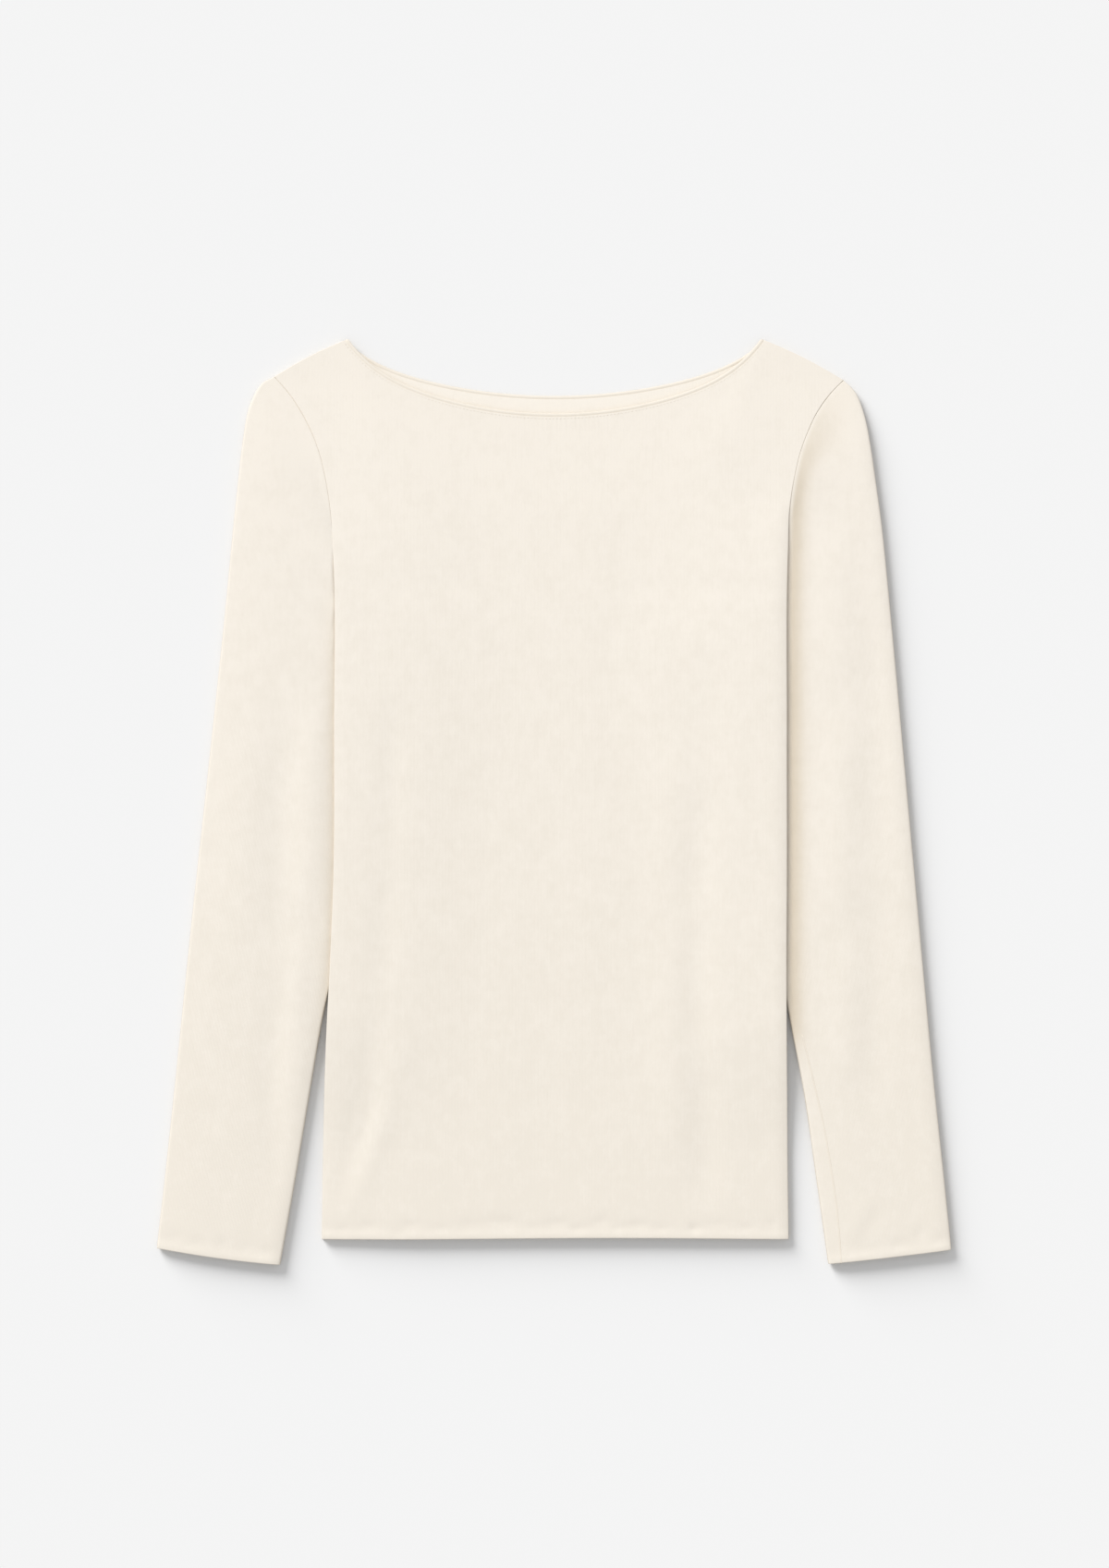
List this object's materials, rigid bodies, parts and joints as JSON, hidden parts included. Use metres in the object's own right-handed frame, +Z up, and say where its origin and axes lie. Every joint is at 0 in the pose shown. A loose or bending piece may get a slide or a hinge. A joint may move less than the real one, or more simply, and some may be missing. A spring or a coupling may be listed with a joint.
{
  "type": "thermal base layer top",
  "caption": "Long-sleeved boat-neck thermal top in smooth double-knit jersey, laid flat face up, with bound neck edge, set-in sleeves and turned hem and cuffs.",
  "frame": {"origin": "on the surface that the garment lies on, under the middle of the garment's outline", "axes": "+X to the viewer's right (the wearer's left), +Y from the hem to the neck, +Z up out of the surface"},
  "size_m": [0.5498, 0.6416, 0.0106],
  "materials": {
    "jersey": "cream smooth double-knit jersey, soft and matt, with fine vertical wales and a faint fuzz",
    "jersey_inside": "inside of the cream jersey, slightly lighter and warmer, matt",
    "neck_binding": "narrow rolled binding of the same cream jersey, matt"
  },
  "bodies": {
    "root": {"back_panel": "jersey_inside", "front_panel": "jersey", "right_sleeve": "jersey", "left_sleeve": "jersey", "back_neck_binding": "neck_binding", "front_neck_binding": "neck_binding"}
  },
  "joints": []
}
